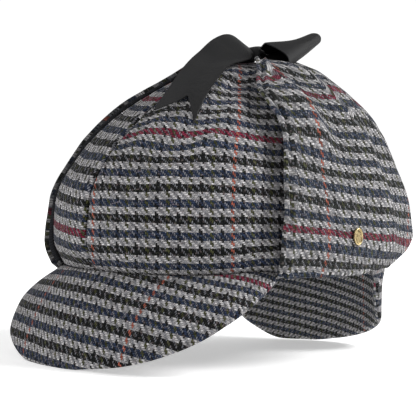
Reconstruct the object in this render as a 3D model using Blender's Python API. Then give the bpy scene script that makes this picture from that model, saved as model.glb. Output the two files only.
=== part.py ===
"""Deerstalker cap of checked tweed, ear flaps folded up and tied on top with a ribbon bow.

Metres, +Z up.  The cap rests on the lower edges of its two peaks at z = 0.
Its front looks along -Y and the wearer's left is +X.  Angles around the crown
run from 0 at the front towards the wearer's left.
"""
import math

import bpy
import numpy as np

# Driving sizes in metres
RIM_LENGTH = 0.204
RIM_WIDTH = 0.162
RIM_HEIGHT = 0.049
CROWN_HEIGHT = 0.1150
CROWN_LEAN = 0.018
CLOTH_THICKNESS = 0.0024
GORE_PUFF = 0.0012
APEX_HOLE = 0.0020
GAP = 0.0003

PEAK_THICKNESS = 0.0036
PEAK_ROOT_INSET = 0.0014
PEAK_ARCH = 0.55
FRONT_PEAK_SPREAD = 67.0
REAR_PEAK_SPREAD = 60.0
PEAK_DROP = RIM_HEIGHT + 0.0012

FLAP_THICKNESS = 0.0034
FLAP_STAND_OFF = 0.0020
FLAP_HEM_DROP = 0.0034
FLAP_FOLD_RISE = 0.0020
FLAP_ROOT_SPREAD = 14.0
FLAP_TIP_THICKNESS = 0.0026
FAR_CORNER_FLARE = 0.0025
FAR_HEM_LIFT = 0.36

RIBBON_WIDTH = 0.027
RIBBON_THICKNESS = 0.0009
RIBBON_SETTLING = 0.0024
KNOT_LENGTH = 0.014
KNOT_WIDTH = 0.012
KNOT_HEIGHT = 0.008
KNOT_WAIST = 0.10
LOOP_CLOSING = 0.45
TAIL_CLEARANCE = 0.0012

BADGE_HEIGHT = 0.0115
BADGE_WIDTH = 0.0065
BADGE_THICKNESS = 0.0014
BADGE_ANGLE = 93.0
BADGE_STEP = 0.12

# Crown profile: step from rim to apex, share of height, share of rim size, share of lean
CROWN_PROFILE = (
    (0.00, 0.00, 0.967, 0.00),
    (0.10, 0.12, 1.030, -0.04),
    (0.24, 0.30, 1.015, -0.08),
    (0.40, 0.50, 0.920, 0.05),
    (0.58, 0.70, 0.750, 0.37),
    (0.75, 0.86, 0.515, 0.62),
    (0.87, 0.945, 0.345, 0.82),
    (1.00, 1.00, 0.000, 1.00),
)

# Seams between the six gores, degrees round the crown
GORES = (
    ("crown_front_left", 0.0, 72.0),
    ("crown_side_left", 72.0, 126.0),
    ("crown_back_left", 126.0, 180.0),
    ("crown_back_right", 180.0, 234.0),
    ("crown_side_right", 234.0, 288.0),
    ("crown_front_right", 288.0, 360.0),
)

# Lower edge of a peak: share of spread from the cap's right to its left as it faces that way,
# outward as share of peak drop, drop as share of peak drop
FRONT_PEAK_EDGE = (
    (-1.00, 0.06, 0.12),
    (-0.75, 0.62, 0.45),
    (-0.50, 0.60, 0.76),
    (-0.30, 0.52, 0.95),
    (-0.18, 0.47, 1.00),
    (0.18, 0.47, 1.00),
    (0.30, 0.49, 0.945),
    (0.50, 0.54, 0.75),
    (0.75, 0.45, 0.43),
    (1.00, 0.05, 0.10),
)
# The rear peak is tucked in and its left end, at the negative shares, rides higher
REAR_PEAK_EDGE = (
    (-1.00, -0.05, 0.12),
    (-0.90, -0.17, 0.42),
    (-0.75, -0.20, 0.60),
    (-0.50, -0.12, 0.82),
    (-0.30, -0.01, 1.00),
    (0.00, 0.08, 1.00),
    (0.30, 0.01, 1.00),
    (0.50, -0.08, 0.96),
    (0.75, -0.14, 0.78),
    (0.90, -0.10, 0.52),
    (1.00, -0.02, 0.12),
)

# Flap outlines: step up the crown, then front and rear edge angles of the left flap and of the right
FLAP_OUTLINE = (
    (0.00, 67.5, 116.0, 42.0, 114.0),
    (0.12, 67.5, 131.0, 43.0, 118.0),
    (0.24, 68.0, 140.0, 44.0, 118.0),
    (0.40, 67.0, 140.0, 45.0, 119.0),
    (0.55, 62.0, 138.0, 45.0, 121.0),
    (0.70, 56.0, 137.0, 45.0, 126.0),
    (0.82, 51.0, 138.0, 45.0, 133.0),
    (0.90, 48.0, 140.0, 46.0, 138.0),
    (0.93, 48.0, 142.0, 47.0, 141.0),
)

# Soft folds that run from the flap's tip: step up the crown, angle of first fold, angle of second
FLAP_FOLDS = (
    (0.00, 115.0, 132.0),
    (0.12, 112.0, 130.0),
    (0.27, 107.0, 126.0),
    (0.45, 99.0, 120.0),
    (0.62, 89.0, 110.0),
    (0.75, 78.0, 98.0),
    (0.93, 62.0, 90.0),
)

# Bow loops: side, length, height at the near edge, dip of the near edge, rise of the far edge
LOOPS = (
    ("bow_loop_left", 1, 0.0285, 0.0095, 0.0010, 0.0112),
    ("bow_loop_right", -1, 0.0210, 0.0060, 0.0006, 0.0035),
)

# Front tail: forward, sideways and rise from the knot in ribbon widths, roll in degrees, width share
FRONT_TAIL = (
    (0.245, 0.00, 0.06, 36.0, 0.40),
    (0.50, 0.02, 0.10, 38.0, 0.72),
    (0.84, 0.06, -0.09, 37.0, 0.94),
    (1.26, 0.13, -0.36, 32.0, 1.00),
    (1.83, 0.31, -0.70, 26.0, 1.00),
    (2.44, 0.54, -1.09, 20.0, 1.00),
    (2.98, 0.81, -1.47, 14.0, 1.00),
)

# Back tail lies on the crown: distance from the knot in ribbon widths, width share
BACK_TAIL = (
    (0.30, 0.36),
    (0.80, 0.70),
    (1.20, 1.00),
    (1.80, 1.00),
    (2.50, 1.00),
)
BACK_TAIL_HEADING = 187.0
BACK_TAIL_CLEARANCE = 0.0026

TWEED = (0.145, 0.148, 0.160)
TWEED_DARK = (0.105, 0.110, 0.120)
RIBBON = (0.030, 0.030, 0.032)
BRASS = (0.560, 0.430, 0.200)


def table_curve(rows, column, where):
    """Smooth curve without overshoot through one column of a table."""
    x = np.array([row[0] for row in rows])
    y = np.array([row[column] for row in rows])
    h = np.diff(x)
    slope = np.diff(y) / h
    tangent = np.zeros_like(y)
    tangent[0] = slope[0]
    tangent[-1] = slope[-1]
    for i in range(1, len(x) - 1):
        if slope[i - 1] * slope[i] > 0.0:
            w0 = 2.0 * h[i] + h[i - 1]
            w1 = h[i] + 2.0 * h[i - 1]
            tangent[i] = (w0 + w1) / (w0 / slope[i - 1] + w1 / slope[i])
    where = np.clip(np.asarray(where, float), x[0], x[-1])
    cell = np.clip(np.searchsorted(x, where, side="right") - 1, 0, len(x) - 2)
    t = (where - x[cell]) / h[cell]
    return (
        y[cell] * (1.0 + 2.0 * t) * (1.0 - t) ** 2
        + h[cell] * tangent[cell] * t * (1.0 - t) ** 2
        + y[cell + 1] * t * t * (3.0 - 2.0 * t)
        + h[cell] * tangent[cell + 1] * t * t * (t - 1.0)
    )


def smooth_ramp(value):
    """Ease from 0 to 1."""
    value = np.clip(value, 0.0, 1.0)
    return value * value * (3.0 - 2.0 * value)


def unit(vector):
    """Vectors scaled to length one."""
    return vector / np.maximum(np.linalg.norm(vector, axis=-1, keepdims=True), 1e-12)


def crown_point(angle, step):
    """Point on the crown's smooth outer face."""
    angle, step = np.broadcast_arrays(np.asarray(angle, float), np.asarray(step, float))
    turn = np.radians(angle)
    height = RIM_HEIGHT + CROWN_HEIGHT * table_curve(CROWN_PROFILE, 1, step)
    size = table_curve(CROWN_PROFILE, 2, step)
    back = CROWN_LEAN * table_curve(CROWN_PROFILE, 3, step)
    x = 0.5 * RIM_WIDTH * size * np.sin(turn)
    y = -0.5 * RIM_LENGTH * size * np.cos(turn) + back
    return np.stack([x, y, height], axis=-1)


def crown_normal(angle, step):
    """Outward direction of the crown's face."""
    low = np.clip(np.asarray(step, float) - 0.006, 0.0, 0.97)
    high = low + 0.012
    around = crown_point(np.asarray(angle, float) + 1.0, step) - crown_point(
        np.asarray(angle, float) - 1.0, step
    )
    upward = crown_point(angle, high) - crown_point(angle, low)
    return unit(np.cross(around, upward))


def level_normal(angle):
    """Outward direction at the rim, level with the table."""
    normal = crown_normal(angle, 0.05)
    normal[..., 2] = 0.0
    return unit(normal)


def grid_normals(grid):
    """Directions square to a grid of points."""
    along = np.gradient(grid, axis=0)
    across = np.gradient(grid, axis=1)
    return unit(np.cross(along, across))


def material(name, colour, roughness, metallic):
    """Plain surface with the colour of the part."""
    made = bpy.data.materials.new(name)
    made.use_nodes = True
    shader = made.node_tree.nodes["Principled BSDF"]
    shader.inputs["Base Color"].default_value = (*colour, 1.0)
    shader.inputs["Roughness"].default_value = roughness
    shader.inputs["Metallic"].default_value = metallic
    return made


def add_object(name, vertices, faces, surface):
    """Closed body turned so that its faces look outwards."""
    mesh = bpy.data.meshes.new(name)
    mesh.from_pydata([tuple(v) for v in vertices], [], faces)
    points = np.array(vertices)
    volume = 0.0
    for face in faces:
        for k in range(1, len(face) - 1):
            a, b, c = points[face[0]], points[face[k]], points[face[k + 1]]
            volume += float(np.dot(a, np.cross(b, c)))
    if volume < 0.0:
        mesh.flip_normals()
    mesh.polygons.foreach_set("use_smooth", [True] * len(mesh.polygons))
    mesh.set_sharp_from_angle(angle=math.radians(50.0))
    mesh.materials.append(surface)
    mesh.update()
    made = bpy.data.objects.new(name, mesh)
    bpy.context.scene.collection.objects.link(made)
    return made


def add_slab(name, outer, inner, surface):
    """Body between two grids of points."""
    rows, columns = outer.shape[:2]
    vertices = list(outer.reshape(-1, 3)) + list(inner.reshape(-1, 3))
    shift = rows * columns

    def at(i, j, side):
        return side * shift + i * columns + j

    faces = []
    j_end = columns - 1
    i_end = rows - 1
    for i in range(i_end):
        for j in range(j_end):
            faces.append((at(i, j, 0), at(i, j + 1, 0), at(i + 1, j + 1, 0), at(i + 1, j, 0)))
            faces.append((at(i, j, 1), at(i + 1, j, 1), at(i + 1, j + 1, 1), at(i, j + 1, 1)))
        faces.append((at(i, 0, 0), at(i + 1, 0, 0), at(i + 1, 0, 1), at(i, 0, 1)))
        faces.append((at(i, j_end, 0), at(i, j_end, 1), at(i + 1, j_end, 1), at(i + 1, j_end, 0)))
    for j in range(j_end):
        faces.append((at(0, j, 0), at(0, j, 1), at(0, j + 1, 1), at(0, j + 1, 0)))
        faces.append((at(i_end, j, 0), at(i_end, j + 1, 0), at(i_end, j + 1, 1), at(i_end, j, 1)))
    return add_object(name, vertices, faces, surface)


def build_gore(name, start, end, surface):
    """One sewn gore of the crown, with half the seam gap left at each side."""
    around = np.linspace(0.0, 1.0, 10)
    apex_step = 1.0 - 2.2 * APEX_HOLE / RIM_WIDTH
    steps = np.concatenate([np.linspace(0.0, 0.84, 11), np.linspace(0.89, apex_step, 4)])
    share, step = np.meshgrid(around, steps, indexing="ij")
    reach = np.linalg.norm(crown_point(start + 1.0, step) - crown_point(start, step), axis=-1)
    inset = 0.5 * GAP / reach
    reach_end = np.linalg.norm(crown_point(end, step) - crown_point(end - 1.0, step), axis=-1)
    inset_end = 0.5 * GAP / reach_end
    angle = start + inset + share * (end - start - inset - inset_end)
    normal = crown_normal(angle, step)
    puff = GORE_PUFF * np.sin(math.pi * share) * smooth_ramp((0.84 - step) / 0.3)
    outer = crown_point(angle, step) + normal * puff[..., None]
    inner = outer - normal * CLOTH_THICKNESS
    inner[:, 0, 2] = RIM_HEIGHT
    outer[:, 0, 2] = RIM_HEIGHT
    add_slab(name, outer, inner, surface)


def build_peak(name, centre, spread, edge, surface):
    """Stiff peak sewn under the rim; its lowest edge lies flat on the table."""
    share = np.linspace(-1.0, 1.0, 27)
    depth = np.array([0.0, 0.09, 0.25, 0.45, 0.65, 0.85, 1.0])
    u, w = np.meshgrid(share, depth, indexing="ij")
    angle = centre + u * spread
    outward = PEAK_DROP * table_curve(edge, 1, u)
    drop = PEAK_DROP * table_curve(edge, 2, u)
    bow = PEAK_ARCH * (1.0 - np.abs(u) ** 4) * w * (1.0 - w)
    level = level_normal(angle)
    root = crown_point(angle, 0.0) - level * PEAK_ROOT_INSET
    middle = root + level * (outward * (w + bow))[..., None]
    middle[..., 2] = RIM_HEIGHT - GAP - (drop - GAP) * (w - 0.5 * bow)
    normal = grid_normals(middle)
    flip = np.sign(np.sum(normal * level, axis=-1, keepdims=True))
    normal = normal * np.where(flip == 0.0, 1.0, flip)
    normal[:, 0] = level[:, 0]
    normal[:, 1] = unit(normal[:, 1] + level[:, 1])
    outer = middle + normal * 0.5 * PEAK_THICKNESS
    inner = middle - normal * 0.5 * PEAK_THICKNESS
    outer[..., 2] = np.clip(outer[..., 2], 0.0, RIM_HEIGHT - GAP)
    inner[..., 2] = np.clip(inner[..., 2], 0.0, RIM_HEIGHT - GAP)
    add_slab(name, outer, inner, surface)


def flap_fold(angle, step):
    """Rise of the soft folds over the flap's smooth face."""
    rise = 0.0
    for column, width, share in ((1, 9.0, 1.0), (2, 7.0, 0.6)):
        away = (angle - table_curve(FLAP_FOLDS, column, step)) / width
        rise = rise + share * np.exp(-away * away)
    return FLAP_FOLD_RISE * rise * smooth_ramp(step / 0.12) * smooth_ramp((0.95 - step) / 0.35)


def flap_stand(step):
    """Distance from the crown to the flap's inner face, less near the tip."""
    return FLAP_STAND_OFF * (1.0 - 0.55 * smooth_ramp((step - 0.5) / 0.3))


def build_flap(name, side, surface):
    """Ear flap folded up over the crown, its tip near the apex."""
    front_column = 1 if side > 0 else 3
    steps = np.concatenate([np.linspace(0.035, 0.85, 14), np.linspace(0.89, FLAP_OUTLINE[-1][0], 2)])
    share, step = np.meshgrid(np.linspace(0.0, 1.0, 15), steps, indexing="ij")
    front = table_curve(FLAP_OUTLINE, front_column, step)
    rear = table_curve(FLAP_OUTLINE, front_column + 1, step)
    angle = front + share * (rear - front)
    thick = FLAP_THICKNESS + (FLAP_TIP_THICKNESS - FLAP_THICKNESS) * smooth_ramp((step - 0.6) / 0.3)
    flare = 0.0 if side > 0 else FAR_CORNER_FLARE
    rise = flap_stand(step) + 0.5 * thick + flap_fold(angle, step)
    rise = rise + flare * (1.0 - share) ** 3 * (1.0 - smooth_ramp(step / 0.35))
    middle = crown_point(side * angle, step) + crown_normal(side * angle, step) * rise[..., None]
    foot = front[0, 0] + share[:, 0] * (rear[0, 0] - front[0, 0])
    level = level_normal(side * foot)
    rim = crown_point(side * foot, 0.0)
    centre = 0.5 * (FRONT_PEAK_SPREAD + 180.0 - REAR_PEAK_SPREAD)
    hook = smooth_ramp((1.0 - np.abs(foot - centre) / FLAP_ROOT_SPREAD) * 2.0)
    stand = FLAP_STAND_OFF + 0.5 * FLAP_THICKNESS
    under = GAP + 0.5 * FLAP_THICKNESS + 0.0002
    over_peak = np.zeros_like(foot)
    if side < 0:
        over_peak = smooth_ramp((FRONT_PEAK_SPREAD + 7.0 - foot) / 6.0)
    hem = []
    for off, drop, off_root, drop_root in (
        (stand - 0.0010, FLAP_HEM_DROP, -0.0008, under),
        (stand - 0.0002, 0.55 * FLAP_HEM_DROP, 0.0016, under),
        (stand + 0.0002, 0.10 * FLAP_HEM_DROP, stand, 0.25 * FLAP_THICKNESS),
    ):
        out = off + flare * (1.0 - share[:, 0]) ** 3 + hook * (off_root - off)
        lifted = FAR_HEM_LIFT * (1.05 * FLAP_HEM_DROP - drop)
        down = (drop + hook * (drop_root - drop)) * (1.0 - over_peak) - over_peak * lifted
        point = rim + level * out[:, None]
        point[:, 2] = RIM_HEIGHT - down
        hem.append(point)
    middle = np.concatenate([np.stack(hem, axis=1), middle], axis=1)
    thick = np.concatenate([np.repeat(thick[:, :1], len(hem), axis=1), thick], axis=1)
    normal = grid_normals(middle) * (0.5 * side * thick)[..., None]
    outer = middle + normal
    inner = middle - normal
    add_slab(name, outer, inner, surface)


def knot_place():
    """Middle of the knot, just over the apex of the crown."""
    apex = crown_point(0.0, 1.0)
    return apex + np.array([0.0, -0.003, 0.5 * KNOT_HEIGHT + GAP])


def crown_below(x, y):
    """Height of the crown's outer face under a place near its top."""
    steps = np.linspace(0.3, 0.999, 300)
    best = None
    angle = np.degrees(np.arctan2(x / RIM_WIDTH, -(y - CROWN_LEAN) / RIM_LENGTH))
    for _ in range(3):
        points = crown_point(angle, steps)
        gap = np.hypot(points[:, 0] - x, points[:, 1] - y)
        best = int(np.argmin(gap))
        lean = CROWN_LEAN * float(table_curve(CROWN_PROFILE, 3, steps[best]))
        angle = np.degrees(np.arctan2(x / RIM_WIDTH, -(y - lean) / RIM_LENGTH))
    return float(crown_point(angle, steps[best])[2])


def ribbon_sheet(path, roll, width, surface, name, notch=0.0, clear=None):
    """Ribbon along a path; roll turns it about the path, a notch cuts a V in its end.

    With a clearance given, no point comes nearer to the crown than that.
    """
    count = len(path)
    tangent = unit(np.gradient(path, axis=0))
    side = unit(np.cross(tangent, np.array([0.0, 0.0, 1.0])))
    lift = np.cross(side, tangent)
    turn = np.radians(roll)[:, None]
    cross = side * np.cos(turn) + lift * np.sin(turn)
    across = np.linspace(-0.5, 0.5, 7)
    middle = path[:, None, :] + cross[:, None, :] * (width[:, None] * across)[..., None]
    if notch > 0.0:
        reach = np.linspace(0.0, 1.0, count) ** 3
        back = notch * (1.0 - 2.0 * np.abs(across))
        middle = middle - tangent[:, None, :] * (reach[:, None] * back)[..., None]
    if clear is not None:
        for point in middle.reshape(-1, 3):
            least = crown_below(point[0], point[1]) + clear
            spare = point[2] - least
            point[2] = least + 0.5 * (spare + math.hypot(spare, RIBBON_SETTLING))
    normal = grid_normals(middle)
    outer = middle + normal * 0.5 * RIBBON_THICKNESS
    inner = middle - normal * 0.5 * RIBBON_THICKNESS
    add_slab(name, outer, inner, surface)


def build_front_tail(surface):
    """Free ribbon end that arches forward over the crown."""
    knot = knot_place()
    reach = [row[0] for row in FRONT_TAIL]
    where = np.linspace(reach[0], reach[-1], 24)
    path = np.stack(
        [
            knot[0] + RIBBON_WIDTH * table_curve(FRONT_TAIL, 1, where),
            knot[1] - RIBBON_WIDTH * where,
            knot[2] + RIBBON_WIDTH * table_curve(FRONT_TAIL, 2, where),
        ],
        axis=-1,
    )
    roll = table_curve(FRONT_TAIL, 3, where)
    width = RIBBON_WIDTH * table_curve(FRONT_TAIL, 4, where)
    notch = 0.45 * RIBBON_WIDTH
    ribbon_sheet(path, roll, width, surface, "bow_tail_front", notch, TAIL_CLEARANCE + GORE_PUFF)


def build_loop(name, side, length, height, dip, climb, surface):
    """Bow loop that leaves the knot sideways and returns under itself."""
    knot = knot_place()
    turn = np.linspace(0.03, 0.97, 29)
    around, width = np.meshgrid(turn, np.linspace(0.0, 1.0, 6), indexing="ij")
    phase = 2.0 * math.pi * around
    reach = 0.5 * (1.0 - np.cos(phase))
    neck = 0.5 * RIBBON_THICKNESS + 1.5 * GAP
    half = 0.5 * height * (1.0 - LOOP_CLOSING * width)
    rise = np.where(phase < math.pi, smooth_ramp(reach / 0.6), smooth_ramp(reach))
    # The far end turns over in a blunt bend
    bend = np.where(reach < 0.5, 1.0, np.abs(np.sin(phase)) ** 0.6)
    lift = np.sign(np.sin(phase)) * (neck + (half - neck) * rise) * bend
    gather = 0.36 + 0.64 * smooth_ramp(reach / 0.55)
    start = 0.5 * KNOT_LENGTH * (1.0 - KNOT_WAIST) + 0.5 * GAP
    x = start + (length - start + 0.004 * width) * reach
    y = knot[1] + (0.28 * reach + (width - 0.5) * gather) * RIBBON_WIDTH
    z = knot[2] + lift + (width * climb - dip) * smooth_ramp(reach)
    middle = np.stack([knot[0] + side * x, y, z], axis=-1)
    normal = grid_normals(middle)
    outer = middle + normal * 0.5 * RIBBON_THICKNESS
    inner = middle - normal * 0.5 * RIBBON_THICKNESS
    add_slab(name, outer, inner, surface)


def build_back_tail(surface):
    """Free ribbon end that lies over the back of the crown, away from the front."""
    knot = knot_place()
    heading = math.radians(BACK_TAIL_HEADING)
    along = np.array([math.sin(heading), -math.cos(heading)])
    reach = [row[0] for row in BACK_TAIL]
    where = np.linspace(reach[0], reach[-1], 20)
    path = []
    for share in where:
        place = knot[:2] + along * RIBBON_WIDTH * share
        height = crown_below(place[0], place[1]) + BACK_TAIL_CLEARANCE
        start = smooth_ramp((share - reach[0]) / 0.6)
        path.append((place[0], place[1], knot[2] + (height - knot[2]) * float(start)))
    width = RIBBON_WIDTH * table_curve(BACK_TAIL, 1, where)
    notch = 0.45 * RIBBON_WIDTH
    flat = np.zeros(len(where))
    ribbon_sheet(np.array(path), flat, width, surface, "bow_tail_back", notch, BACK_TAIL_CLEARANCE)


def build_tie(name, side, surface):
    """Short ribbon from the flap's tip to the knot."""
    knot = knot_place()
    step = FLAP_OUTLINE[-1][0]
    tip_angle = 0.5 * (FLAP_OUTLINE[-1][1] + FLAP_OUTLINE[-1][2])
    start = step + 0.022
    near = crown_point(side * tip_angle, start)
    near = near + crown_normal(side * tip_angle, start) * (RIBBON_THICKNESS + 2.0 * GAP)
    end = knot + np.array([side * (0.5 * KNOT_LENGTH + GAP), 0.003, -0.36 * KNOT_HEIGHT])
    share = np.linspace(0.0, 1.0, 8)[:, None]
    path = near * (1.0 - share) + end * share
    path[:, 2] += 0.0012 * np.sin(math.pi * share[:, 0])
    width = RIBBON_WIDTH * (0.45 - 0.12 * share[:, 0])
    ribbon_sheet(path, np.zeros(8), width, surface, name)


def build_knot(surface):
    """Wrapped knot, a rounded cushion with a shallow waist."""
    knot = knot_place()
    rows = 12
    columns = 20
    vertices = []
    for i in range(1, rows):
        latitude = math.pi * i / rows
        for j in range(columns):
            turn = 2.0 * math.pi * j / columns
            ring = math.sin(latitude) ** 0.7
            waist = 1.0 - KNOT_WAIST * math.cos(turn) ** 4
            y = 0.5 * KNOT_WIDTH * math.cos(latitude)
            squared_x = math.copysign(abs(math.cos(turn)) ** 0.8, math.cos(turn))
            squared_z = math.copysign(abs(math.sin(turn)) ** 0.8, math.sin(turn))
            x = 0.5 * KNOT_LENGTH * ring * waist * squared_x
            z = 0.5 * KNOT_HEIGHT * ring * squared_z
            vertices.append(knot + np.array([x, y, z]))
    pole = len(vertices)
    vertices.append(knot + np.array([0.0, 0.5 * KNOT_WIDTH, 0.0]))
    vertices.append(knot - np.array([0.0, 0.5 * KNOT_WIDTH, 0.0]))
    faces = []
    for i in range(rows - 2):
        for j in range(columns):
            k = (j + 1) % columns
            near, far = i * columns, (i + 1) * columns
            faces.append((near + j, near + k, far + k, far + j))
    for j in range(columns):
        k = (j + 1) % columns
        faces.append((pole, k, j))
        base = (rows - 2) * columns
        faces.append((pole + 1, base + j, base + k))
    add_object("bow_knot", vertices, faces, surface)


def build_badge(surface):
    """Oval pin with a raised rim, set on the near flap."""
    step = BADGE_STEP
    normal = crown_normal(BADGE_ANGLE, step)
    rise = FLAP_STAND_OFF + FLAP_THICKNESS + float(flap_fold(BADGE_ANGLE, step)) + 2.0 * GAP
    base = crown_point(BADGE_ANGLE, step) + normal * rise
    upward = unit(np.array([0.0, 0.0, 1.0]) - normal * normal[2])
    side = np.cross(upward, normal)
    # Rings from the back's middle over the rim to the face: share of size, share of thickness
    rings = ((0.55, 0.0), (0.94, 0.0), (1.0, 0.25), (0.98, 0.8), (0.88, 1.0), (0.76, 0.75), (0.45, 0.9))
    columns = 24
    vertices = []
    for size, height in rings:
        for j in range(columns):
            turn = 2.0 * math.pi * j / columns
            across = side * (0.5 * BADGE_WIDTH * size * math.cos(turn))
            along = upward * (0.5 * BADGE_HEIGHT * size * math.sin(turn))
            vertices.append(base + across + along + normal * BADGE_THICKNESS * height)
    back = len(vertices)
    vertices.append(base.copy())
    vertices.append(base + normal * BADGE_THICKNESS)
    faces = []
    for i in range(len(rings) - 1):
        for j in range(columns):
            k = (j + 1) % columns
            near, far = i * columns, (i + 1) * columns
            faces.append((near + j, near + k, far + k, far + j))
    for j in range(columns):
        k = (j + 1) % columns
        faces.append((back, k, j))
        top = (len(rings) - 1) * columns
        faces.append((back + 1, top + j, top + k))
    add_object("badge", vertices, faces, surface)


def settle_on_origin():
    """Move the cap so that the middle of its footprint is the origin."""
    pieces = [each for each in bpy.data.objects if each.type == "MESH"]
    corners = np.array([vertex.co for each in pieces for vertex in each.data.vertices])
    low = corners.min(axis=0)
    high = corners.max(axis=0)
    shift = np.array([-0.5 * (low[0] + high[0]), -0.5 * (low[1] + high[1]), 0.0])
    for each in pieces:
        for vertex in each.data.vertices:
            vertex.co = np.array(vertex.co) + shift


def main():
    """Build every piece of the cap."""
    for old in list(bpy.data.objects):
        bpy.data.objects.remove(old, do_unlink=True)

    def tweed(name, colour=TWEED):
        return material(name + "_tweed", colour, 0.95, 0.0)

    def ribbon(name):
        return material(name + "_ribbon", RIBBON, 0.55, 0.0)

    for name, start, end in GORES:
        build_gore(name, start, end, tweed(name))
    build_peak("peak_front", 0.0, FRONT_PEAK_SPREAD, FRONT_PEAK_EDGE, tweed("peak_front"))
    build_peak("peak_rear", 180.0, REAR_PEAK_SPREAD, REAR_PEAK_EDGE, tweed("peak_rear", TWEED_DARK))
    build_flap("ear_flap_left", 1, tweed("ear_flap_left"))
    build_flap("ear_flap_right", -1, tweed("ear_flap_right"))
    build_tie("ribbon_tie_left", 1, ribbon("tie_left"))
    build_tie("ribbon_tie_right", -1, ribbon("tie_right"))
    build_knot(ribbon("knot"))
    for name, side, length, height, dip, climb in LOOPS:
        build_loop(name, side, length, height, dip, climb, ribbon(name))
    build_front_tail(ribbon("tail_front"))
    build_back_tail(ribbon("tail_back"))
    build_badge(material("badge_brass", BRASS, 0.35, 1.0))
    settle_on_origin()


main()
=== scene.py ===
"""Looks of the deerstalker cap: checked tweed cloth, satin ribbon bow and a small brass pin.

Metres, +Z up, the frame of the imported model.  Every cloth piece is laid out again from
the cap's own sizes at a finer grain, with the cut of its cloth as a UV map, so that the
check runs over each piece as it was cut.
"""

import math

import bpy
import numpy as np
from mathutils import Matrix, Vector, noise


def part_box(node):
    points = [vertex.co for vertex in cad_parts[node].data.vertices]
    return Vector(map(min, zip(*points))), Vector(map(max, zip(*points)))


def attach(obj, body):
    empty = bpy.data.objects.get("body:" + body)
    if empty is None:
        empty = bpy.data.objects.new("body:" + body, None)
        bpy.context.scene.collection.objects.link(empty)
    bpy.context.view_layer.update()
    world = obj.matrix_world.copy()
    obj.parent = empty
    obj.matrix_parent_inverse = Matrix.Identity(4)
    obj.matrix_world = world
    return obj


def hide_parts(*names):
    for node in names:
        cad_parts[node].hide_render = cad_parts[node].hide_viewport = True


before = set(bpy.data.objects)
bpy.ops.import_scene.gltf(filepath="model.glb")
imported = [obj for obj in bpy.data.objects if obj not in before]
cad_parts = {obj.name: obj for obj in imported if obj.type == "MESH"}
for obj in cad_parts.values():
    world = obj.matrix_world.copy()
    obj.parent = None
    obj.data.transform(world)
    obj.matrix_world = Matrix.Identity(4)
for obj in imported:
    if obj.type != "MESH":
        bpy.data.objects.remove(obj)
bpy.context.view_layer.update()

# Cap sizes, as in the solids
RIM_LENGTH = 0.204
RIM_WIDTH = 0.162
RIM_HEIGHT = 0.049
CROWN_HEIGHT = 0.1150
CROWN_LEAN = 0.018
CLOTH_THICKNESS = 0.0024
GORE_PUFF = 0.0012
APEX_HOLE = 0.0020
GAP = 0.0003
PEAK_THICKNESS = 0.0036
PEAK_ROOT_INSET = 0.0014
PEAK_ARCH = 0.55
PEAK_DROP = RIM_HEIGHT + 0.0012
FRONT_PEAK_SPREAD = 67.0
REAR_PEAK_SPREAD = 60.0
FLAP_THICKNESS = 0.0034
FLAP_STAND_OFF = 0.0020
FLAP_HEM_DROP = 0.0034
RIBBON_WIDTH = 0.027
KNOT_LENGTH = 0.014
KNOT_WIDTH = 0.012
KNOT_HEIGHT = 0.008
BADGE_WIDTH = 0.0065
BADGE_THICKNESS = 0.0014

# Sizes that keep closer to the photograph than the solids do
RIM_SETTLE = 0.00025
NEAR_END_INSET = 0.0018
FLAP_FOLD_RISE = 0.0036
RIBBON_THICKNESS = 0.0007
BADGE_HEIGHT = 0.0101
BADGE_ANGLE = 92.0
BADGE_STEP = 0.132

# Relief of the crown in metres, and the angles of the corner behind the near flap in degrees
RIPPLE_RISE = 0.0010
DENT_RISE = 0.0008
PULL_AT_FLAP = 0.0034
SEAM_DIP = 0.0013
SEAM_RIDGE = 0.0003
PUCKER_RISE = 0.0003
PUCKER_LENGTH = 0.0042
TURN_IN = 0.0016
TURN_RADIUS = 0.0026
CORNER_TURN_IN = 0.0022
CORNER_TURN_RADIUS = 0.0050
CORNER_ANGLE = 124.0
CORNER_SPREAD = 17.0

# Relief of the peaks and flaps, in metres
PEAK_UNEVEN = 0.0004
PEAK_SINK = 0.0016
PEAK_SINK_RADIUS = 0.0045
PEAK_END_RADIUS = 0.0015
FLOOR_CLEARANCE = 0.0002
FLAP_LUMP = 0.0007
FLAP_FINE_LUMP = 0.0003
FLAP_FRONT_RISE = 0.0016
FAR_FLAP_FRONT_RISE = 0.0010
FAR_FLAP_FLARE = 0.0025

# Crown profile: step from rim to apex, share of height, share of rim size, share of lean
CROWN_PROFILE = (
    (0.00, 0.00, 0.967, 0.00),
    (0.10, 0.12, 1.030, -0.04),
    (0.24, 0.30, 1.015, -0.08),
    (0.40, 0.50, 0.920, 0.05),
    (0.58, 0.70, 0.750, 0.37),
    (0.75, 0.86, 0.515, 0.62),
    (0.87, 0.945, 0.345, 0.82),
    (1.00, 1.00, 0.000, 1.00),
)

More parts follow.
